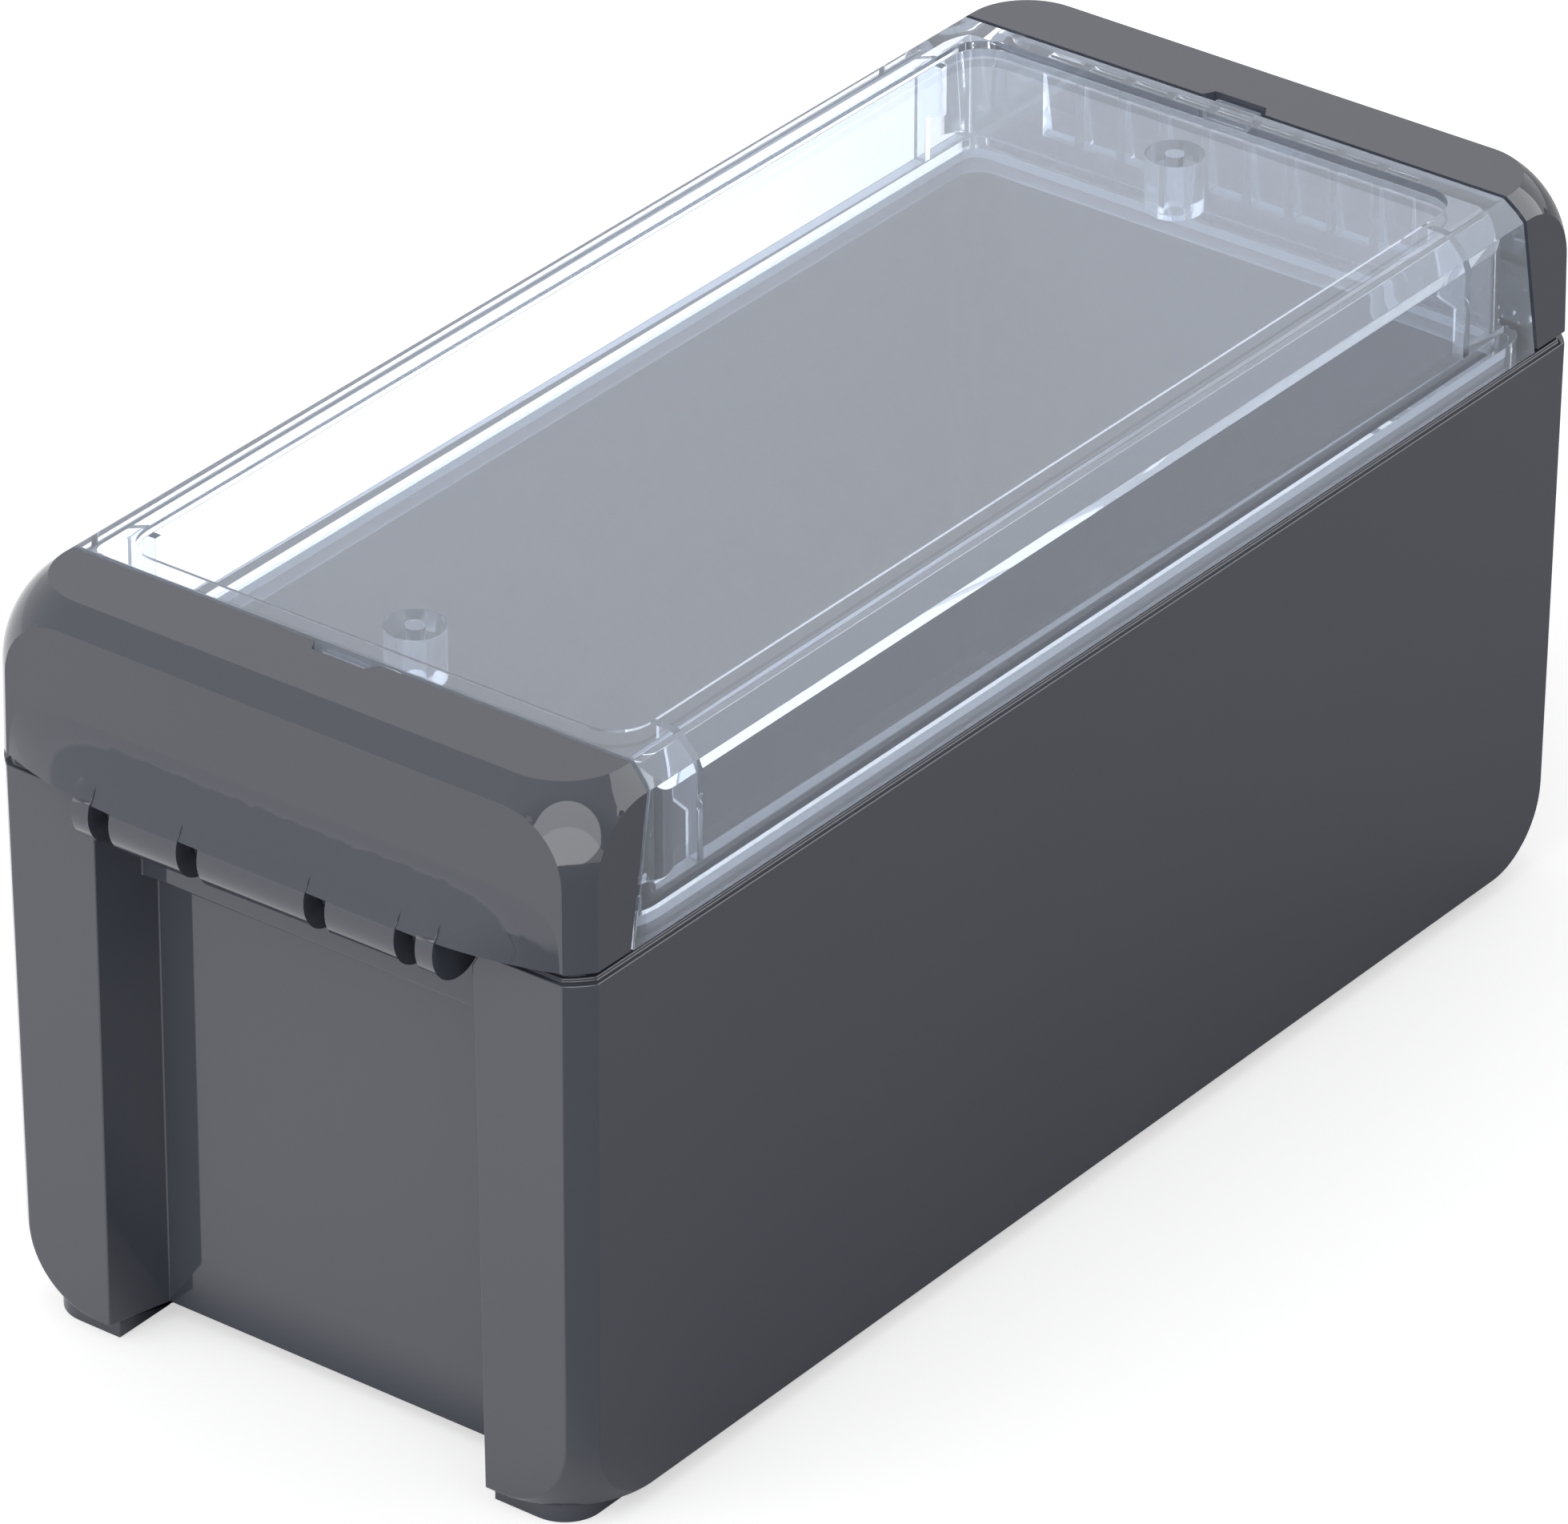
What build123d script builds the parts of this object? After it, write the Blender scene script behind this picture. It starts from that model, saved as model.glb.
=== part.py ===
from build123d import *
import math
import os

os.makedirs("parts", exist_ok=True)

# Overall size. The origin is on the ground, under the middle of the box.
length_at_rim = 182.3
width_at_rim = 80.0
total_height = 90.0
lid_height = 20.1
rim_step = 1.2
foot_height = 2.3
mould_draft = 0.516

# Shallow bands that soften every outer corner, and the ball corners where they meet
lower_corner_inset = 11.6
lower_corner_radius = 14.7
lower_corner_height = 9.3
upper_corner_inset = 10.3
upper_corner_radius = 12.86

# Base shell: walls, tongue and the stepped rim
end_depth = 10.95
side_wall = 2.8
inside_corner_radius = 3.0
floor_thickness = 2.5
tongue_width = 1.0
tongue_height = 1.4
first_step_inset = 0.6
first_step_height = 0.45
second_step_inset = 1.2

# End recess between the corner pillars
pillar_front_width = 14.5
pillar_back_width = 16.5
recess_depth = 7.85
rim_band_depth = 1.9
rim_band_height = 11.6
rim_band_round = 0.4
pillar_bevel_width = 1.0
pillar_bevel_height = 1.7

# Hinge: barrels on the cover, lugs on the base, trunnions on the two outer lugs
hinge_inset = 0.85
barrel_radius = 4.4
trunnion_radius = 1.66
trunnion_reach = 1.4
running_clearance = 0.09
lug_nose_radius = 1.9
lug_thickness = 2.2
lug_side_clearance = 0.3
hinge_shift = 1.2
inner_lug_offset = 8.6
outer_lug_inset = 3.7
barrel_row_margin = 2.4
lug_root_height = 4.2
relief_clearance = 0.3
barrel_end_clearance = 0.35

# Feet and wall-screw channels
screw_end_inset = 5.45
screw_side_inset = 7.4
screw_hole_diameter = 4.3
screw_channel_diameter = 7.2
screw_seat_thickness = 6.0
foot_length = 8.6
foot_width = 10.5
foot_end_inset = 2.25
foot_side_inset = 3.6
foot_corner_radius = 4.6

# Board bosses on the floor of the base
board_boss_inset = 10.2
board_boss_width = 6.0
board_boss_core = 2.5
board_boss_height = 6.0

# Parting face between the lid and an end cover: leans in towards the top
parting_depth = 8.35
parting_lean = 9.83
parting_gap = 0.56

# Lid
lid_plate = 2.9
lid_wall = 2.6
lid_inner_bevel = 1.95
lid_field_end_margin = 3.07
lid_field_side_margin = 6.2
lid_field_radius = 4.5
lid_field_depth = 1.0
lid_flange_height = 4.4
lid_flange_width = 4.2
lid_groove_clearance = 0.3
seal_height = 1.2
lid_end_wall_inset = 5.3
lid_end_wall_foot = 5.2
dome_inset = 9.2
dome_diameter = 6.8
dome_core = 2.3
dome_height = 6.85
tab_inset = 7.5
tab_thickness = 1.0
tab_long_reach = 3.8
tab_short_reach = 1.5
tab_step_drop = 6.3
pocket_foot = 7.4
pocket_roof = 4.7
pocket_pitch = 5.85
pocket_width = 4.6
pocket_wall = 1.7
pocket_count = 9
pry_lug_width = 6.0
pry_lug_reach = 1.2
pry_lug_drop = 2.1
pry_lug_height = 1.4

# End cover
cover_edge_gap = 0.2
cover_wall = 2.3
cover_top_wall = 2.5
cover_inside_radius = 3.0
flare_meet_angle = 39.5
flare_sweep_angle = 34.0
flare_start_angle = 4.0
flare_setback = 0.1
flare_root = 0.1
flare_side_width = 20.5
flare_end_inset = 2.7
pry_notch_width = 9.0
pry_notch_back_width = 7.0
pry_notch_reach = 1.8
cover_rib_thickness = 1.2
cover_rib_setback = 0.6
cover_rib_foot = 6.1
cover_rib_offsets = (-27.0, -21.4, -15.3, -9.4, 9.4, 15.3, 21.4, 27.0)

# Places that follow from the sizes: base
draft_slope = math.tan(math.radians(mould_draft))
seat_z = total_height - lid_height
rim_z = seat_z - rim_step
tongue_z = seat_z + tongue_height
inside_length = length_at_rim - 2 * end_depth
inside_width = width_at_rim - 2 * side_wall
recess_back_x = length_at_rim / 2 - recess_depth
recess_front_width = width_at_rim - 2 * pillar_front_width
recess_back_width = width_at_rim - 2 * pillar_back_width
screw_x = length_at_rim / 2 - screw_end_inset
screw_y = width_at_rim / 2 - screw_side_inset
foot_front_x = length_at_rim / 2 - foot_end_inset
foot_side_y = width_at_rim / 2 - foot_side_inset
board_boss_x = inside_length / 2 - board_boss_inset
board_boss_y = inside_width / 2 - board_boss_inset

# Places that follow from the sizes: hinge
hinge_x = length_at_rim / 2 - hinge_inset
hinge_z = rim_z
barrel_row_length = recess_front_width - barrel_row_margin
outer_lug_offset = barrel_row_length / 2 - outer_lug_inset
lug_offsets = (-outer_lug_offset, -inner_lug_offset, inner_lug_offset, outer_lug_offset)

# Places that follow from the sizes: lid and covers
parting_slope = math.tan(math.radians(parting_lean))
parting_x = length_at_rim / 2 - parting_depth
lid_ceiling_z = total_height - lid_plate
lid_field_length = 2 * (parting_x - lid_height * parting_slope - lid_field_end_margin)
lid_field_width = width_at_rim - 2 * lid_field_side_margin
lid_flange_z = seat_z + lid_flange_height
lid_end_wall_x = parting_x - lid_end_wall_inset
lid_end_wall_z = seat_z + lid_end_wall_foot
dome_x = lid_end_wall_x - dome_inset
dome_z = lid_ceiling_z - dome_height
tab_x = lid_end_wall_x - tab_inset
tab_step_z = lid_ceiling_z - tab_step_drop
pocket_low_z = seat_z + pocket_foot
pocket_high_z = total_height - pocket_roof
pry_lug_low_z = total_height - pry_lug_drop
cover_edge_z = seat_z + cover_edge_gap
cover_rib_low_z = seat_z + cover_rib_foot
flare_flat_y = width_at_rim / 2 - flare_side_width
flare_end_y = width_at_rim / 2 - flare_end_inset


def banded_form(open_z, closed_z, inset, radius, corner_height):
    """Drafted block, cut by a larger block with round edges that leave shallow bands."""
    direction = 1 if closed_z > open_z else -1
    plane = Plane((0, 0, open_z), x_dir=(1, 0, 0), z_dir=(0, 0, direction))
    reach = abs(closed_z - open_z)
    grow = radius - inset
    block = extrude(plane * Rectangle(length_at_rim, width_at_rim), reach, taper=mould_draft)
    larger = extrude(
        plane * Rectangle(length_at_rim + 2 * grow, width_at_rim + 2 * grow),
        reach + radius - corner_height,
        taper=mould_draft,
    )
    rounded = [edge for edge in larger.edges() if abs(edge.center().Z - open_z) > 0.01]
    return block & fillet(rounded, radius)


def rim_outline(inset):
    """Plan of the base at its rim, with its four banded corners, moved inwards by inset."""
    grow = lower_corner_radius - lower_corner_inset
    plain = Rectangle(length_at_rim - 2 * inset, width_at_rim - 2 * inset)
    rounded = RectangleRounded(
        length_at_rim - 2 * inset + 2 * grow,
        width_at_rim - 2 * inset + 2 * grow,
        lower_corner_radius,
    )
    return plain & rounded


def ring(inner_offset, outer_offset, low_z, high_z):
    """Closed ring round the inside of the base, between two offsets from its inner wall."""
    plane = Plane.XY.offset(low_z)
    outer = RectangleRounded(
        inside_length + 2 * outer_offset,
        inside_width + 2 * outer_offset,
        inside_corner_radius + outer_offset,
    )
    inner = RectangleRounded(
        inside_length + 2 * inner_offset,
        inside_width + 2 * inner_offset,
        inside_corner_radius + inner_offset,
    )
    return extrude(plane * (outer - inner), high_z - low_z)


def box_between(low, high):
    """Block between two opposite corners."""
    size = [b - a for a, b in zip(low, high)]
    middle = [(a + b) / 2 for a, b in zip(low, high)]
    return Pos(*middle) * Box(*size)


def along_y(face, low_y, high_y):
    """Face drawn in x and z, carried along y from low_y to high_y."""
    return extrude(Plane.XZ.offset(-high_y) * face, high_y - low_y)


def cylinder_y(x, z, radius, low_y, high_y):
    """Round bar along y."""
    return along_y(Pos(x, z) * Circle(radius), low_y, high_y)


def tapered_space(plane, length, width, radius, reach):
    """Drafted block with upright corners of one radius, cut out as a moulding's inside."""
    block = extrude(plane * Rectangle(length, width), reach, taper=mould_draft)
    upright = [
        edge for edge in block.edges()
        if abs(edge.position_at(0).Z - edge.position_at(1).Z) > reach / 2
    ]
    return fillet(upright, radius)


def both_ends(near):
    """The near-end feature and its copy turned half round."""
    return near + Rot(0, 0, 180) * near


def four_corners(feature, x, y):
    """Copies of a feature at the four mirrored places."""
    return [Pos(sx * x, sy * y) * feature for sx in (-1, 1) for sy in (-1, 1)]


def recess_cut():
    """Space between the near pillars, widening downwards for the mould."""
    plane = Plane((0, 0, rim_z), x_dir=(1, 0, 0), z_dir=(0, 0, -1))
    front = length_at_rim / 2 + 10
    slope = (recess_front_width - recess_back_width) / 2 / (length_at_rim / 2 - recess_back_x)
    front_half = recess_back_width / 2 + slope * (front - recess_back_x)
    back_half = recess_back_width / 2
    plan = Polygon(
        (-front, -front_half),
        (-recess_back_x, -back_half),
        (-recess_back_x, back_half),
        (-front, front_half),
        align=None,
    )
    space = extrude(plane * plan, rim_z, taper=-mould_draft)
    above = extrude(Plane.XY.offset(rim_z) * plan, total_height)
    return space + above


def pillar_bevels():
    """Cuts on the inner top corner of both near pillars."""
    edge = recess_front_width / 2
    face = Polygon(
        (edge - 3.0, rim_z - pillar_bevel_height),
        (edge, rim_z - pillar_bevel_height),
        (edge + pillar_bevel_width, rim_z),
        (edge + pillar_bevel_width, rim_z + 2),
        (edge - 3.0, rim_z + 2),
        align=None,
    )
    front = length_at_rim / 2 + 1
    cut = extrude(Plane.YZ.offset(-front) * face, front - recess_back_x - rim_band_depth)
    return cut + mirror(cut, Plane.XZ)


def barrel_space():
    """Round relief in the near pillar beside the end barrel, which swings in it."""
    radius = barrel_radius + barrel_end_clearance
    high_y = hinge_shift + barrel_row_length / 2 + barrel_end_clearance
    return cylinder_y(-hinge_x, hinge_z, radius, 0, high_y)


def hinge_lugs():
    """Four lugs that reach out from the rim band, the outer two with a trunnion each."""
    root_x = -(recess_back_x + rim_band_depth) + 1.0
    nose = Pos(-hinge_x, hinge_z) * Circle(lug_nose_radius)
    root = Pos(root_x, rim_z - lug_root_height / 2) * Rectangle(1.0, lug_root_height)
    arm = make_hull(nose.edges() + root.edges())
    lugs = None
    for offset in lug_offsets:
        middle = hinge_shift + offset
        half = lug_thickness / 2
        lug = along_y(arm, middle - half, middle + half)
        lugs = lug if lugs is None else lugs + lug
    for sign in (-1, 1):
        middle = hinge_shift + sign * outer_lug_offset
        tip = middle + sign * (lug_thickness / 2 + lug_side_clearance + trunnion_reach)
        low_y = min(middle, tip)
        high_y = max(middle, tip)
        lugs += cylinder_y(-hinge_x, hinge_z, trunnion_radius, low_y, high_y)
    return lugs


def feet():
    """Pads under the corner pillars, each with one rounded outer corner."""
    pad = Rectangle(foot_length, foot_width)
    outer = [vertex for vertex in pad.vertices() if vertex.X > 0 and vertex.Y > 0]
    pad = fillet(outer, foot_corner_radius)
    middle_x = foot_front_x - foot_length / 2
    middle_y = foot_side_y - foot_width / 2
    corner = extrude(Pos(middle_x, middle_y) * pad, foot_height + 0.2)
    pads = corner + mirror(corner, Plane.YZ)
    return pads + mirror(pads, Plane.XZ)


def base_shell():
    """Deep tub with pillars, recesses, stepped rim, tongue, lugs, feet and bosses."""
    shell = banded_form(
        rim_z, foot_height, lower_corner_inset, lower_corner_radius, lower_corner_height
    )
    step = rim_outline(first_step_inset)
    shell += extrude(Plane.XY.offset(rim_z) * step, first_step_height)
    lip = Rectangle(2 * parting_x, width_at_rim - 2 * second_step_inset)
    shell += extrude(Plane.XY.offset(rim_z) * lip, seat_z - rim_z)
    shell -= both_ends(recess_cut())
    shell -= both_ends(pillar_bevels() + barrel_space())
    band = box_between(
        (-(recess_back_x + rim_band_depth), -recess_back_width / 2 - 1.0, rim_z - rim_band_height),
        (-inside_length / 2 - 0.5, recess_back_width / 2 + 1.0, rim_z),
    )
    low_front = [
        edge for edge in band.edges().group_by(Axis.Z)[0] if edge.center().X < -recess_back_x - 0.1
    ]
    shell += both_ends(fillet(low_front, rim_band_round))
    shell += feet()
    plane = Plane((0, 0, seat_z), x_dir=(1, 0, 0), z_dir=(0, 0, -1))
    depth = seat_z - foot_height - floor_thickness
    shell -= tapered_space(plane, inside_length, inside_width, inside_corner_radius, depth)
    shell += ring(0.0, tongue_width, seat_z - 0.5, tongue_z)
    channel_low = foot_height + screw_seat_thickness
    channel = Pos(0, 0, channel_low) * Cylinder(
        screw_channel_diameter / 2, total_height, align=(Align.CENTER, Align.CENTER, Align.MIN)
    )
    hole = Cylinder(
        screw_hole_diameter / 2, total_height, align=(Align.CENTER, Align.CENTER, Align.MIN)
    )
    for cut in four_corners(channel + hole, screw_x, screw_y):
        shell -= cut
    floor_z = foot_height + floor_thickness
    boss = extrude(
        Plane.XY.offset(floor_z - 0.2)
        * (Rectangle(board_boss_width, board_boss_width) - Circle(board_boss_core / 2)),
        board_boss_height + 0.2,
    )
    for item in four_corners(boss, board_boss_x, board_boss_y):
        shell += item
    return shell + both_ends(hinge_lugs())


def upper_form():
    """Outer form of the lid and both covers together."""
    return banded_form(
        seat_z, total_height, upper_corner_inset, upper_corner_radius, upper_corner_inset
    )


def parting_profile(shift):
    """Section between the two leaning parting faces, each moved outwards by shift."""
    low_z = seat_z - 10
    high_z = total_height + 5
    low_x = parting_x + shift + 10 * parting_slope
    high_x = parting_x + shift - (high_z - seat_z) * parting_slope
    return Polygon((-low_x, low_z), (low_x, low_z), (high_x, high_z), (-high_x, high_z), align=None)


def parting_at(z):
    """Half-length of the lid at a height."""
    return parting_x - (z - seat_z) * parting_slope


def lid():
    """Clear lid: sunken field, groove, domes, corner tabs and pockets at both ends."""
    middle = along_y(parting_profile(-parting_gap / 2), -width_at_rim, width_at_rim)
    body = upper_form() & middle
    field = RectangleRounded(lid_field_length, lid_field_width, lid_field_radius)
    body -= extrude(Plane.XY.offset(total_height - lid_field_depth) * field, lid_field_depth + 1)
    body -= lid_space()
    flange_inner = width_at_rim / 2 - lid_flange_width
    side_step = box_between(
        (-lid_end_wall_x, -width_at_rim / 2 + lid_wall, lid_flange_z),
        (lid_end_wall_x, width_at_rim / 2 - lid_wall, lid_end_wall_z),
    )
    body -= side_step
    mouth_half = inside_length / 2 - (inside_width / 2 - flange_inner)
    mouth = RectangleRounded(2 * mouth_half, 2 * flange_inner, inside_corner_radius)
    body -= extrude(Plane.XY.offset(seat_z - 1) * mouth, lid_end_wall_z - seat_z + 1)
    body -= ring(
        -lid_groove_clearance,
        tongue_width + lid_groove_clearance,
        seat_z - 1,
        tongue_z + seal_height,
    )
    for sign in (-1, 1):
        dome = Circle(dome_diameter / 2) - Circle(dome_core / 2)
        reach = lid_ceiling_z - dome_z + 0.3
        body += Pos(sign * dome_x, 0, dome_z) * extrude(dome, reach)
    for item in lid_tabs():
        body += item
    for cut in lid_pockets():
        body -= both_ends(cut)
    lug = box_between(
        (-parting_at(pry_lug_low_z) - pry_lug_reach, -pry_lug_width / 2, pry_lug_low_z),
        (-parting_at(pry_lug_low_z) + 1.5, pry_lug_width / 2, pry_lug_low_z + pry_lug_height),
    )
    return body + both_ends(lug)


def lid_space():
    """Room inside the lid, its two long upper edges bevelled along the outer bands."""
    half = width_at_rim / 2 - lid_wall
    plan = RectangleRounded(2 * lid_end_wall_x, 2 * half, inside_corner_radius)
    space = extrude(Plane.XY.offset(lid_end_wall_z) * plan, lid_ceiling_z - lid_end_wall_z)
    section = Polygon(
        (-half, lid_end_wall_z),
        (half, lid_end_wall_z),
        (half, lid_ceiling_z - lid_inner_bevel),
        (half - lid_inner_bevel, lid_ceiling_z),
        (-half + lid_inner_bevel, lid_ceiling_z),
        (-half, lid_ceiling_z - lid_inner_bevel),
        align=None,
    )
    return space & extrude(Plane.YZ.offset(-lid_end_wall_x) * section, 2 * lid_end_wall_x)


def lid_tabs():
    """Thin L-shaped ribs that stand on the lid's long walls near the four corners."""
    wall_y = width_at_rim / 2 - lid_wall
    tab = Polygon(
        (wall_y + 0.5, lid_ceiling_z + 0.2),
        (wall_y - tab_long_reach, lid_ceiling_z + 0.2),
        (wall_y - tab_long_reach, tab_step_z),
        (wall_y - tab_short_reach, tab_step_z - 0.8),
        (wall_y - tab_short_reach, lid_flange_z - 0.2),
        (wall_y + 0.5, lid_flange_z - 0.2),
        align=None,
    )
    tabs = []
    for sign in (-1, 1):
        plate = extrude(Plane.YZ.offset(sign * tab_x - tab_thickness / 2) * tab, tab_thickness)
        tabs.append(plate)
        tabs.append(mirror(plate, Plane.XZ))
    return tabs


def lid_pockets():
    """Shallow pockets on the near end of the lid, open towards the cover."""
    inner_x = lid_end_wall_x + pocket_wall
    outer_x = parting_x + 2
    pockets = []
    for index in range(pocket_count):
        middle = (index - (pocket_count - 1) / 2) * pocket_pitch
        pockets.append(
            box_between(
                (-outer_x, middle - pocket_width / 2, pocket_low_z),
                (-inner_x, middle + pocket_width / 2, pocket_high_z),
            )
        )
    return pockets


def lid_seal():
    """Foamed seal ring at the top of the lid's groove."""
    return ring(
        -lid_groove_clearance,
        tongue_width + lid_groove_clearance,
        tongue_z,
        tongue_z + seal_height,
    )


def flare_section(z, front):
    """Level section of the flare: flat in the middle, swept back to the wall at both sides."""
    root = length_at_rim / 2 - (z - seat_z) * draft_slope - flare_root
    back = length_at_rim / 2 - cover_wall
    side = flare_end_y - flare_flat_y
    drop = front - root
    radius = (side * side + drop * drop) / (2 * drop)
    turn = math.asin(side / radius) / 2
    mid_y = flare_flat_y + radius * math.sin(turn)
    mid_x = front - radius * (1 - math.cos(turn))
    outline = [
        Line((-front, -flare_flat_y), (-front, flare_flat_y)),
        ThreePointArc((-front, flare_flat_y), (-mid_x, mid_y), (-root, flare_end_y)),
        Line((-root, flare_end_y), (-back, flare_end_y)),
        Line((-back, flare_end_y), (-back, -flare_end_y)),
        Line((-back, -flare_end_y), (-root, -flare_end_y)),
        ThreePointArc((-root, -flare_end_y), (-mid_x, -mid_y), (-front, -flare_flat_y)),
    ]
    return Plane.XY.offset(z) * make_face(outline)


def flare():
    """Foot of the cover: follows the barrels, then sweeps up into the front wall."""
    radius = barrel_radius - flare_setback
    meet_angle = math.radians(flare_meet_angle)
    meet_x = hinge_x + radius * math.cos(meet_angle)
    meet_z = hinge_z + radius * math.sin(meet_angle)
    rise = cover_edge_z - hinge_z
    sections = [flare_section(cover_edge_z, hinge_x + math.sqrt(radius * radius - rise * rise))]
    end_angle = math.radians(flare_sweep_angle)
    wall_x = length_at_rim / 2 - (meet_z - seat_z) * draft_slope - flare_root
    sweep_radius = (meet_x - wall_x) / (1 - math.cos(end_angle))
    start_angle = math.radians(flare_start_angle)
    for angle in (end_angle, (end_angle + start_angle) / 2, start_angle):
        z = meet_z + sweep_radius * (math.sin(end_angle) - math.sin(angle))
        wall_x = length_at_rim / 2 - (z - seat_z) * draft_slope - flare_root
        sections.append(flare_section(z, wall_x + sweep_radius * (1 - math.cos(angle))))
    return loft(sections)


def barrel_spans():
    """Stretches along y that hold a barrel, between the lugs' gaps."""
    half_gap = lug_thickness / 2 + lug_side_clearance
    start = hinge_shift - barrel_row_length / 2
    spans = []
    for offset in lug_offsets:
        spans.append((start, hinge_shift + offset - half_gap))
        start = hinge_shift + offset + half_gap
    spans.append((start, hinge_shift + barrel_row_length / 2))
    return spans


def end_cover():
    """Near end cover: open shell with flared foot, five hinge barrels and inner ribs."""
    outside = Rectangle(4 * length_at_rim, 4 * total_height) - parting_profile(parting_gap / 2)
    near_half = box_between(
        (-length_at_rim, -width_at_rim, cover_edge_z), (0, width_at_rim, 2 * total_height)
    )
    beyond = along_y(outside, -width_at_rim, width_at_rim) & near_half
    form = upper_form() & beyond
    cover = form + flare()
    cover -= cover_hollow()
    for low_y, high_y in barrel_spans():
        cover += cylinder_y(-hinge_x, hinge_z, barrel_radius, low_y, high_y)
    for item in cover_ribs():
        cover += item & beyond
    bore_radius = trunnion_radius + running_clearance
    bore_reach = lug_thickness / 2 + 2 * lug_side_clearance + trunnion_reach
    half_gap = lug_thickness / 2 + lug_side_clearance
    for sign in (-1, 1):
        middle = hinge_shift + sign * outer_lug_offset
        low_y = min(middle, middle + sign * bore_reach)
        high_y = max(middle, middle + sign * bore_reach)
        cover -= cylinder_y(-hinge_x, hinge_z, bore_radius, low_y, high_y)
    relief_radius = lug_nose_radius + relief_clearance
    for offset in lug_offsets:
        low_y = hinge_shift + offset - half_gap
        high_y = hinge_shift + offset + half_gap
        cover -= cylinder_y(-hinge_x, hinge_z, relief_radius, low_y, high_y)
    edge_x = parting_at(total_height)
    notch = Polygon(
        (-edge_x + 3, pry_notch_width / 2),
        (-edge_x, pry_notch_width / 2),
        (-edge_x - pry_notch_reach, pry_notch_back_width / 2),
        (-edge_x - pry_notch_reach, -pry_notch_back_width / 2),
        (-edge_x, -pry_notch_width / 2),
        (-edge_x + 3, -pry_notch_width / 2),
        align=None,
    )
    notch_z = total_height - cover_top_wall - 0.5
    return cover - extrude(Plane.XY.offset(notch_z) * notch, cover_top_wall + 2)


def cover_hollow():
    """Inside of the cover, open below and towards the lid."""
    front_x = length_at_rim / 2 - cover_wall
    side_y = width_at_rim / 2 - cover_wall
    plane = Plane.XY.offset(seat_z - 1)
    reach = total_height - cover_top_wall - seat_z + 1
    return tapered_space(plane, 2 * front_x, 2 * side_y, cover_inside_radius, reach)


def cover_ribs():
    """Upright ribs on the inside of the cover's front wall."""
    front_x = length_at_rim / 2 - cover_wall + 0.5
    top_z = total_height - cover_top_wall + 0.3
    low_back = front_x - 2.0
    high_back = parting_at(top_z) + parting_gap / 2 + cover_rib_setback
    rib = Polygon(
        (-front_x, cover_rib_low_z),
        (-low_back, cover_rib_low_z),
        (-high_back, cover_rib_low_z + 4.5),
        (-high_back, top_z),
        (-front_x, top_z),
        align=None,
    )
    half = cover_rib_thickness / 2
    return [along_y(rib, offset - half, offset + half) for offset in cover_rib_offsets]


near_cover = end_cover()
export_step(base_shell(), "parts/base_shell.step")
export_step(lid(), "parts/lid.step")
export_step(lid_seal(), "parts/lid_seal.step")
export_step(near_cover, "parts/near_end_cover.step")
export_step(Rot(0, 0, 180) * near_cover, "parts/far_end_cover.step")
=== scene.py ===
import math

import bmesh
import bpy
import numpy as np
from mathutils import Matrix, Vector


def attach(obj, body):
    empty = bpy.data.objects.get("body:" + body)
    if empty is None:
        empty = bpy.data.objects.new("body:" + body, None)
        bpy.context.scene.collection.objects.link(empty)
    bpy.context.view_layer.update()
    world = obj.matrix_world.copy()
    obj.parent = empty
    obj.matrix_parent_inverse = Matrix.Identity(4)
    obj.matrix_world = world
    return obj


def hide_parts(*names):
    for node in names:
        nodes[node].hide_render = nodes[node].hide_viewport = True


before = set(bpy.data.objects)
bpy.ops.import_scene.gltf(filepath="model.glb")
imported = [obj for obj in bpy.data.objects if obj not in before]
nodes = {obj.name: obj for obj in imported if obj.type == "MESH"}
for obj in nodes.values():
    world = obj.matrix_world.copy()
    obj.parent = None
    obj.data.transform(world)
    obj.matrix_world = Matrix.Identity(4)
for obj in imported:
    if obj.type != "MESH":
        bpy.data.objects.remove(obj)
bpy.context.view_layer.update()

# Base shell
# One deep injection-moulded tub of glossy graphite polycarbonate, with corner pillars, recessed
# ends, a stepped rim and the hinge lugs. Every edge that the mould leaves has a tiny round.

base_edge_round = 0.00012
round_steps = 2
merge_distance = 0.000002
crease_angle = math.radians(3)
round_from_angle = math.radians(24)
flat_angle = math.radians(0.3)
parallel_cosine = 0.9


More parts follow.
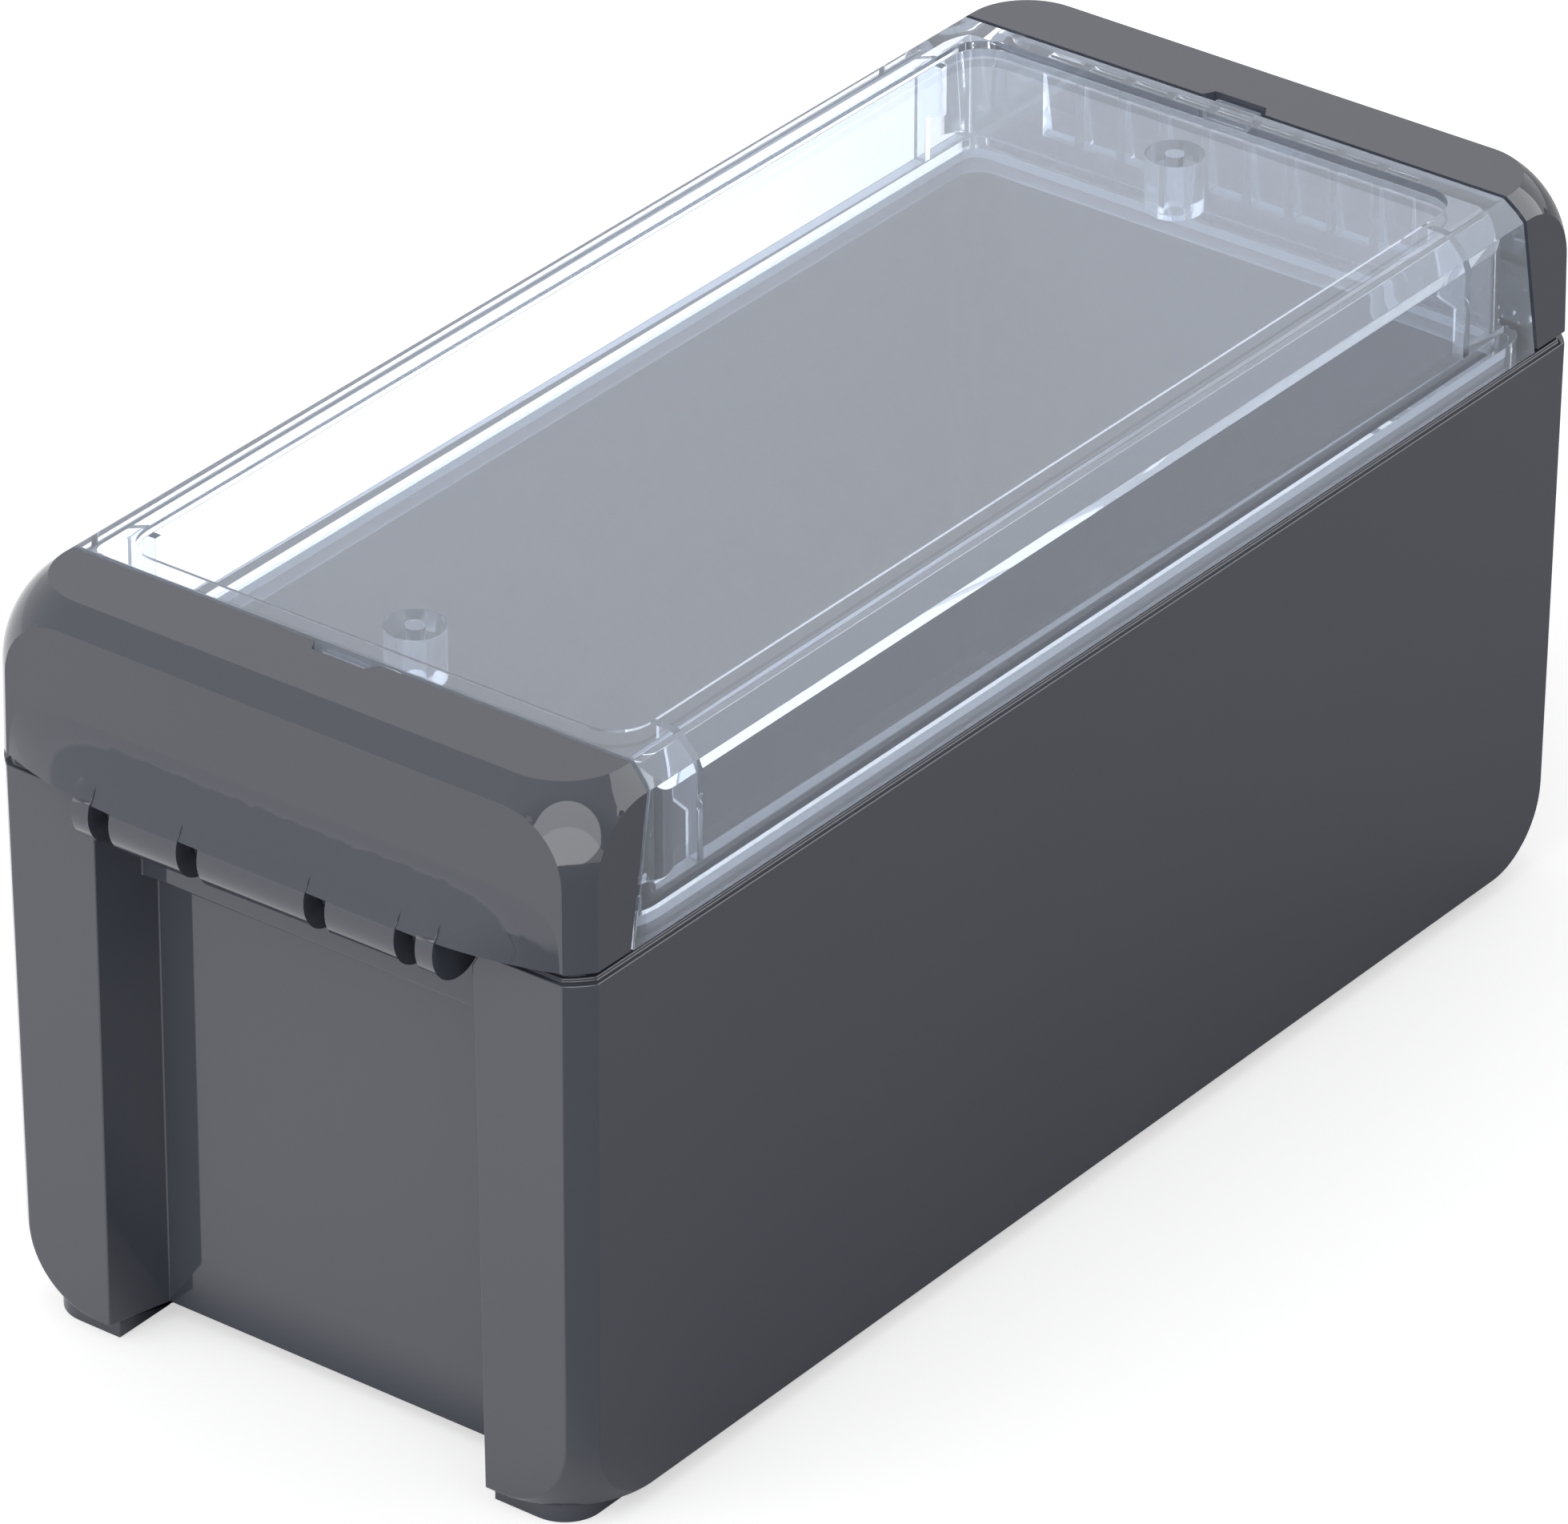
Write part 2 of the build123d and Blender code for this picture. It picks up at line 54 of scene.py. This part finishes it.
def moulded_copy(node, name, edge_round, is_low_step=None):
    """Copy of a CAD solid as a moulding: the loose triangles are merged into whole faces, edges
    where the surface turns by more than the crease angle stay crisp, and those that turn by more
    than the rounding angle get a small round of the given radius. A low step is shaded as one
    with the rounds beside it, and the rounds near it stay smaller than the step."""
    mesh = nodes[node].data.copy()
    mesh.name = name
    normals = np.array([item.vector[:] for item in mesh.corner_normals], dtype=np.float32)
    work = bmesh.new()
    work.from_mesh(mesh)
    layer = work.loops.layers.float_vector.new("cad_normal")
    corner = 0
    for face in work.faces:
        for loop in face.loops:
            loop[layer] = normals[corner]
            corner += 1
    bmesh.ops.remove_doubles(work, verts=work.verts, dist=merge_distance)
    weight = work.edges.layers.float.new("bevel_weight_edge")
    for edge in work.edges:
        turn = surface_turn(edge, layer)
        edge.smooth = turn < crease_angle
        edge[weight] = 1.0 if turn > round_from_angle else 0.0
        edge.seam = not edge.smooth
    low_steps = [face for face in work.faces if is_low_step and is_low_step(face)]
    for face in low_steps:
        for edge in face.edges:
            edge[weight] = 0.0
            edge.smooth = any(
                abs(other.normal.dot(face.normal)) < parallel_cosine for other in edge.link_faces
            )
    bmesh.ops.dissolve_limit(
        work, angle_limit=flat_angle, use_dissolve_boundaries=False,
        verts=work.verts, edges=work.edges, delimit={"SHARP"},
    )
    for face in work.faces:
        face.smooth = True
    work.to_mesh(mesh)
    work.free()
    mesh.attributes.remove(mesh.attributes["cad_normal"])
    mesh.materials.clear()
    piece = bpy.data.objects.new(name, mesh)
    bpy.context.scene.collection.objects.link(piece)
    if edge_round:
        bevel = piece.modifiers.new("edge_round", "BEVEL")
        bevel.width = edge_round
        bevel.segments = round_steps
        bevel.limit_method = "WEIGHT"
        bevel.use_clamp_overlap = is_low_step is not None
    even = piece.modifiers.new("even_normals", "WEIGHTED_NORMAL")
    even.keep_sharp = True
    return piece


def surface_turn(edge, layer):
    """Largest angle between the true surface directions on the two sides of an edge."""
    if len(edge.link_loops) != 2:
        return math.pi
    one, other = edge.link_loops
    pairs = (
        (one[layer], other.link_loop_next[layer]),
        (one.link_loop_next[layer], other[layer]),
    )
    return max(a.angle(b, math.pi) for a, b in pairs)


def noise(tree, scale, detail, vector):
    """Noise texture on the given coordinates, its scale in features per metre."""
    node = tree.nodes.new("ShaderNodeTexNoise")
    node.inputs["Scale"].default_value = scale
    node.inputs["Detail"].default_value = detail
    tree.links.new(vector, node.inputs["Vector"])
    return node.outputs["Fac"]


def spread(tree, value, low, high):
    """Maps a 0 to 1 value onto low to high."""
    node = tree.nodes.new("ShaderNodeMapRange")
    node.inputs["To Min"].default_value = low
    node.inputs["To Max"].default_value = high
    tree.links.new(value, node.inputs["Value"])
    return node.outputs["Result"]


def blend_colours(tree, value, low, high):
    """Colour that goes from low to high as the value goes from 0 to 1."""
    node = tree.nodes.new("ShaderNodeMix")
    node.data_type = "RGBA"
    node.inputs["A"].default_value = low
    node.inputs["B"].default_value = high
    tree.links.new(value, node.inputs["Factor"])
    return node.outputs["Result"]


flow_shades_per_metre = 22.0
gloss_grains_per_metre = 900.0
sink_marks_per_metre = 60.0


def flow_group():
    """Faint unevenness of a glossy moulding: slow flow shade, fine gloss change, and sink height."""
    group = bpy.data.node_groups.new("moulding_flow", "ShaderNodeTree")
    face = group.interface
    face.new_socket("Coordinates", in_out="INPUT", socket_type="NodeSocketVector")
    face.new_socket("Shade", in_out="OUTPUT", socket_type="NodeSocketFloat")
    face.new_socket("Gloss", in_out="OUTPUT", socket_type="NodeSocketFloat")
    face.new_socket("Height", in_out="OUTPUT", socket_type="NodeSocketFloat")
    inside = group.nodes.new("NodeGroupInput")
    outside = group.nodes.new("NodeGroupOutput")
    where = inside.outputs["Coordinates"]
    group.links.new(noise(group, flow_shades_per_metre, 2.0, where), outside.inputs["Shade"])
    group.links.new(noise(group, gloss_grains_per_metre, 3.0, where), outside.inputs["Gloss"])
    group.links.new(noise(group, sink_marks_per_metre, 1.0, where), outside.inputs["Height"])
    return group


moulding_flow = flow_group()


def flow_in(tree):
    """Places the moulding flow group on Object coordinates."""
    place = tree.nodes.new("ShaderNodeTexCoord")
    node = tree.nodes.new("ShaderNodeGroup")
    node.node_tree = moulding_flow
    tree.links.new(place.outputs["Object"], node.inputs["Coordinates"])
    return node


graphite_dark = (0.055, 0.060, 0.079, 1.0)
graphite_pale = (0.060, 0.065, 0.084, 1.0)
graphite_roughness = (0.03, 0.05)
sink_depth = 0.00001
sink_strength = 0.1


def graphite_plastic():
    """Glossy graphite polycarbonate, with faint flow shade and fine changes of gloss."""
    material = bpy.data.materials.new("graphite_polycarbonate")
    material.use_nodes = True
    tree = material.node_tree
    shader = tree.nodes["Principled BSDF"]
    flow = flow_in(tree)
    shade = blend_colours(tree, flow.outputs["Shade"], graphite_dark, graphite_pale)
    tree.links.new(shade, shader.inputs["Base Color"])
    tree.links.new(
        spread(tree, flow.outputs["Gloss"], *graphite_roughness), shader.inputs["Roughness"]
    )
    bump = tree.nodes.new("ShaderNodeBump")
    bump.inputs["Distance"].default_value = sink_depth
    bump.inputs["Strength"].default_value = sink_strength
    tree.links.new(flow.outputs["Height"], bump.inputs["Height"])
    tree.links.new(bump.outputs["Normal"], shader.inputs["Normal"])
    shader.inputs["IOR"].default_value = 1.52
    shader.inputs["Specular IOR Level"].default_value = 0.5
    return material


graphite = graphite_plastic()
base_piece = moulded_copy("base_shell", "base_moulding", base_edge_round)
base_piece.data.materials.append(graphite)
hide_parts("base_shell")
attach(base_piece, "base")

# End covers
# Two like graphite mouldings that clamp the lid. Each swings on five barrels at its lower
# outer edge, and a screwdriver notch in its inner top edge prises it open.

cover_edge_round = 0.00016
cover_edge_z = 0.0701
flare_root_x = 0.0925


def is_barrel_step(face):
    """True where a barrel's end stands a tenth of a millimetre out of the flare."""
    upright = abs(face.normal.y) > 0.999
    return upright and all(
        corner.co.z > cover_edge_z - 0.0001 and abs(corner.co.x) > flare_root_x
        for corner in face.verts
    )


for node, name, body in (
    ("near_end_cover", "near_cover_moulding", "near_cover"),
    ("far_end_cover", "far_cover_moulding", "lid"),
):
    cover = moulded_copy(node, name, cover_edge_round, is_barrel_step)
    cover.data.materials.append(graphite)
    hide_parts(node)
    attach(cover, body)

# Clear lid
# One injection moulding of clear polycarbonate with a faint cold tint. Its polished edges,
# ribs and steps catch thin lines of light, and the lamps shine through it into the box.

lid_edge_round = 0.00006
seat_gap = 0.00003
seat_reach = 0.00001
clear_cold = (0.86, 0.915, 1.0, 1.0)
clear_pale = (0.88, 0.925, 1.0, 1.0)
clear_mirror_tint = (0.74, 0.81, 0.95, 1.0)
clear_shadow_tint = (0.93, 0.95, 0.97, 1.0)


def clear_plastic():
    """Clear polycarbonate: a polished glass shader that lets lamp light through to the inside."""
    material = bpy.data.materials.new("clear_polycarbonate")
    material.use_nodes = True
    tree = material.node_tree
    shader = tree.nodes["Principled BSDF"]
    flow = flow_in(tree)
    tint = blend_colours(tree, flow.outputs["Shade"], clear_cold, clear_pale)
    tree.links.new(tint, shader.inputs["Base Color"])
    shader.inputs["Roughness"].default_value = 0.0
    shader.inputs["Metallic"].default_value = 0.0
    shader.inputs["Transmission Weight"].default_value = 0.91
    shader.inputs["IOR"].default_value = 1.58
    shader.inputs["Specular Tint"].default_value = clear_mirror_tint
    through = tree.nodes.new("ShaderNodeBsdfTransparent")
    through.inputs["Color"].default_value = clear_shadow_tint
    rays = tree.nodes.new("ShaderNodeLightPath")
    mix = tree.nodes.new("ShaderNodeMixShader")
    tree.links.new(rays.outputs["Is Shadow Ray"], mix.inputs["Fac"])
    tree.links.new(shader.outputs["BSDF"], mix.inputs[1])
    tree.links.new(through.outputs["BSDF"], mix.inputs[2])
    tree.links.new(mix.outputs["Shader"], tree.nodes["Material Output"].inputs["Surface"])
    return material


def seat_rim(lid):
    """Lifts the lid's lower rim by the seat gap, and leaves the edges that sit there sharp."""
    corners = lid.vertices
    lower_rim = min(vertex.co.z for vertex in corners)
    seated = {vertex.index for vertex in corners if vertex.co.z < lower_rim + seat_reach}
    for index in seated:
        corners[index].co.z += seat_gap
    rounds = lid.attributes["bevel_weight_edge"].data
    for edge in lid.edges:
        if seated.issuperset(edge.vertices):
            rounds[edge.index].value = 0.0


lid_piece = moulded_copy("lid", "lid_moulding", lid_edge_round)
seat_rim(lid_piece.data)
lid_piece.data.materials.append(clear_plastic())
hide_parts("lid")
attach(lid_piece, "lid")

# Lid seal
# Polyurethane foam, poured as a bead into the lid's groove, where it cures to a soft ring
# with a fine closed skin.

foam_clearance = 0.00004
foam_dark = (0.42, 0.45, 0.49, 1.0)
foam_pale = (0.50, 0.53, 0.57, 1.0)
pores_per_metre = 5200.0
pore_depth = 0.00003


def seal_foam():
    """Light grey foam with fine pores under a matt skin."""
    material = bpy.data.materials.new("seal_foam")
    material.use_nodes = True
    tree = material.node_tree
    shader = tree.nodes["Principled BSDF"]
    place = tree.nodes.new("ShaderNodeTexCoord")
    pores = noise(tree, pores_per_metre, 2.0, place.outputs["Object"])
    shade = blend_colours(tree, pores, foam_dark, foam_pale)
    tree.links.new(shade, shader.inputs["Base Color"])
    shader.inputs["Roughness"].default_value = 0.8
    bump = tree.nodes.new("ShaderNodeBump")
    bump.inputs["Distance"].default_value = pore_depth
    bump.inputs["Strength"].default_value = 0.5
    tree.links.new(pores, bump.inputs["Height"])
    tree.links.new(bump.outputs["Normal"], shader.inputs["Normal"])
    return material


seal_piece = moulded_copy("lid_seal", "seal_ring", 0.0)
skin = [vertex.normal * foam_clearance for vertex in seal_piece.data.vertices]
for vertex, step in zip(seal_piece.data.vertices, skin):
    vertex.co -= step
seal_piece.data.materials.append(seal_foam())
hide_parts("lid_seal")
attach(seal_piece, "lid")

# Studio
# A pale floor, a white surround, and one large soft lamp from the left above that lights the
# surfaces. The floor carries painted glow and a painted shadow that show only in reflections and
# through the lid. Three round soft lamps beside the camera show only in the gloss, where two of them
# are the overlapping discs in the ball corners.


def glow_by_ray(tree, even, seen, mirrored, through):
    """Strength by kind of ray: even light, straight view, reflection, and view through glass."""
    rays = tree.nodes.new("ShaderNodeLightPath")
    value = even
    for kind, strength in (
        ("Is Camera Ray", seen), ("Is Glossy Ray", mirrored), ("Is Transmission Ray", through)
    ):
        mix = tree.nodes.new("ShaderNodeMix")
        tree.links.new(rays.outputs[kind], mix.inputs["Factor"])
        for socket, part in (("A", value), ("B", strength)):
            if isinstance(part, float):
                mix.inputs[socket].default_value = part
            else:
                tree.links.new(part, mix.inputs[socket])
        value = mix.outputs["Result"]
    return value


def side_fade(tree, direction, near, far, low, high):
    """Smooth change from low to high along a direction, between two distances."""
    place = tree.nodes.new("ShaderNodeTexCoord")
    along = tree.nodes.new("ShaderNodeVectorMath")
    along.operation = "DOT_PRODUCT"
    along.inputs[1].default_value = direction
    tree.links.new(place.outputs["Object"], along.inputs[0])
    fade = tree.nodes.new("ShaderNodeMapRange")
    fade.interpolation_type = "SMOOTHSTEP"
    fade.inputs["From Min"].default_value = near
    fade.inputs["From Max"].default_value = far
    fade.inputs["To Min"].default_value = low
    fade.inputs["To Max"].default_value = high
    tree.links.new(along.outputs["Value"], fade.inputs["Value"])
    return fade.outputs["Result"]


def product(tree, one, other):
    """One value times another."""
    node = tree.nodes.new("ShaderNodeMath")
    node.operation = "MULTIPLY"
    tree.links.new(one, node.inputs[0])
    tree.links.new(other, node.inputs[1])
    return node.outputs["Value"]


def white_surround():
    """World that looks white and lights the object evenly from above. Its reflection is dimmer
    towards the near right, and seen through the lid it is dimmer on the right and overhead."""
    world = bpy.data.worlds.new("studio")
    bpy.context.scene.world = world
    world.use_nodes = True
    tree = world.node_tree
    glow = tree.nodes["Background"]
    glow.inputs["Color"].default_value = (1.0, 1.0, 1.0, 1.0)
    beyond_lid = product(
        tree,
        side_fade(tree, (0.0, -1.0, 0.0), near=-0.3, far=0.3, low=1.45, high=0.8),
        side_fade(tree, (0.0, 0.0, 1.0), near=0.6, far=0.85, low=1.0, high=0.4),
    )
    mirrored = side_fade(tree, (-0.8, -0.6, 0.0), near=0.4, far=0.7, low=1.1, high=0.7)
    strength = glow_by_ray(tree, even=0.8, seen=1.0, mirrored=mirrored, through=beyond_lid)
    tree.links.new(strength, glow.inputs["Strength"])


# Painted shadow round the box's foot, seen only where the box mirrors the floor: its footprint and
# reach.
painted_shadow_footprint = (0.083, 0.033, 0.0)
painted_shadow_reach = 0.012
floor_own_sheen = 0.1


def painted_floor_glow(tree):
    """Painted light that the floor shows only in reflections on the box: a painted glow, white on
    the key lamp's side and dim on the right, with a painted shadow close round the box's foot, less
    the light that it gives back by itself."""
    left = side_fade(tree, (0.6, -0.8, 0.0), near=-0.045, far=-0.003, low=0.9, high=0.0)
    right = side_fade(tree, (-0.35, -0.94, 0.0), near=0.07, far=0.1, low=1.0, high=0.0)
    place = tree.nodes.new("ShaderNodeTexCoord")
    away = place.outputs["Object"]
    for step, other in (
        ("ABSOLUTE", None), ("SUBTRACT", painted_shadow_footprint), ("MAXIMUM", (0.0, 0.0, 0.0))
    ):
        part = tree.nodes.new("ShaderNodeVectorMath")
        part.operation = step
        tree.links.new(away, part.inputs[0])
        if other:
            part.inputs[1].default_value = other
        away = part.outputs["Vector"]
    gap = tree.nodes.new("ShaderNodeVectorMath")
    gap.operation = "LENGTH"
    tree.links.new(away, gap.inputs[0])
    outside_painted_shadow = tree.nodes.new("ShaderNodeMapRange")
    outside_painted_shadow.interpolation_type = "SMOOTHSTEP"
    outside_painted_shadow.inputs["From Min"].default_value = 0.0
    outside_painted_shadow.inputs["From Max"].default_value = painted_shadow_reach
    tree.links.new(gap.outputs["Value"], outside_painted_shadow.inputs["Value"])
    # Painted glow times the painted shadow mask, less the floor's own lit light.
    sheen = tree.nodes.new("ShaderNodeMath")
    sheen.operation = "SUBTRACT"
    sheen.inputs[1].default_value = floor_own_sheen
    tree.links.new(
        product(tree, product(tree, left, right), outside_painted_shadow.outputs["Result"]), sheen.inputs[0]
    )
    return sheen.outputs["Value"]


def pale_floor(half_size):
    """Square floor under the object, evenly white to the camera, with painted light that shows only
    in the box's reflections and through the lid.
    """
    corner = np.array([[-1, -1, 0], [1, -1, 0], [1, 1, 0], [-1, 1, 0]], float) * half_size
    mesh = bpy.data.meshes.new("floor")
    mesh.from_pydata(corner.tolist(), [], [(0, 1, 2, 3)])
    floor = bpy.data.objects.new("floor", mesh)
    bpy.context.scene.collection.objects.link(floor)
    material = bpy.data.materials.new("pale_floor")
    material.use_nodes = True
    tree = material.node_tree
    shader = tree.nodes["Principled BSDF"]
    shader.inputs["Base Color"].default_value = (0.62, 0.62, 0.62, 1.0)
    shader.inputs["Roughness"].default_value = 0.9
    shader.inputs["Specular IOR Level"].default_value = 0.1
    shader.inputs["Emission Color"].default_value = (1.0, 1.0, 1.0, 1.0)
    # Painted glow that the floor shows only through the lid: brighter on the key lamp's side, dimmer
    # on the right.
    beyond_lid = side_fade(tree, (0.6, -0.8, 0.0), near=-0.05, far=0.05, low=1.6, high=0.5)
    strength = glow_by_ray(
        tree, even=0.0, seen=0.55, mirrored=painted_floor_glow(tree), through=beyond_lid
    )
    tree.links.new(strength, shader.inputs["Emission Strength"])
    mesh.materials.append(material)


lamp_distance = 2.4
lamp_aim_height = 0.06


def round_lamp(name, azimuth, elevation, reach, radiance, lights):
    """Round soft lamp at the lamp distance, seen from the box under a half-angle of reach
    degrees. It either lights the surfaces evenly or shows in their gloss."""
    turn = math.radians(azimuth)
    rise = math.radians(elevation)
    data = bpy.data.lights.new(name, "AREA")
    data.shape = "DISK"
    data.size = 2 * lamp_distance * math.tan(math.radians(reach))
    data.energy = radiance * math.pi * math.pi * (data.size / 2) ** 2
    lamp = bpy.data.objects.new(name, data)
    bpy.context.scene.collection.objects.link(lamp)
    direction = Vector((
        math.cos(rise) * math.cos(turn), math.cos(rise) * math.sin(turn), math.sin(rise)
    ))
    lamp.location = direction * lamp_distance + Vector((0, 0, lamp_aim_height))
    lamp.rotation_euler = direction.to_track_quat("Z", "Y").to_euler()
    lamp.visible_camera = False
    lamp.visible_transmission = False
    lamp.visible_diffuse = lights == "surfaces"
    lamp.visible_glossy = lights == "gloss"


white_surround()
pale_floor(6.0)
round_lamp("key", azimuth=158, elevation=34, reach=30, radiance=1.3, lights="surfaces")
round_lamp("left_disc", azimuth=-139.5, elevation=26, reach=30, radiance=3.0, lights="gloss")
round_lamp("low_left_disc", azimuth=-140, elevation=2.5, reach=30, radiance=1.1, lights="gloss")
round_lamp("right_disc", azimuth=-46, elevation=22, reach=31, radiance=2.2, lights="gloss")

# Camera
# The photograph's view: from the near end, a little to the right of it, and 30 degrees above.
# A long lens 1.3 m away keeps the box's far end nearly as large as its near end.

camera_place = Vector((-0.9081, -0.6848, 0.6964))
camera_right = Vector((0.60511, -0.79614, 0.0026))
camera_down = Vector((-0.39638, -0.3041, -0.86626))
camera_lens = 272.37

data = bpy.data.cameras.new("camera")
data.sensor_fit = "HORIZONTAL"
data.sensor_width = 36.0
data.lens = camera_lens
data.clip_start = 0.05
data.clip_end = 50.0
camera = bpy.data.objects.new("camera", data)
bpy.context.scene.collection.objects.link(camera)
turn = Matrix((camera_right, -camera_down, camera_right.cross(-camera_down))).transposed()
camera.matrix_world = Matrix.Translation(camera_place) @ turn.to_4x4()
bpy.context.scene.camera = camera
bpy.context.scene.view_settings.view_transform = "Standard"
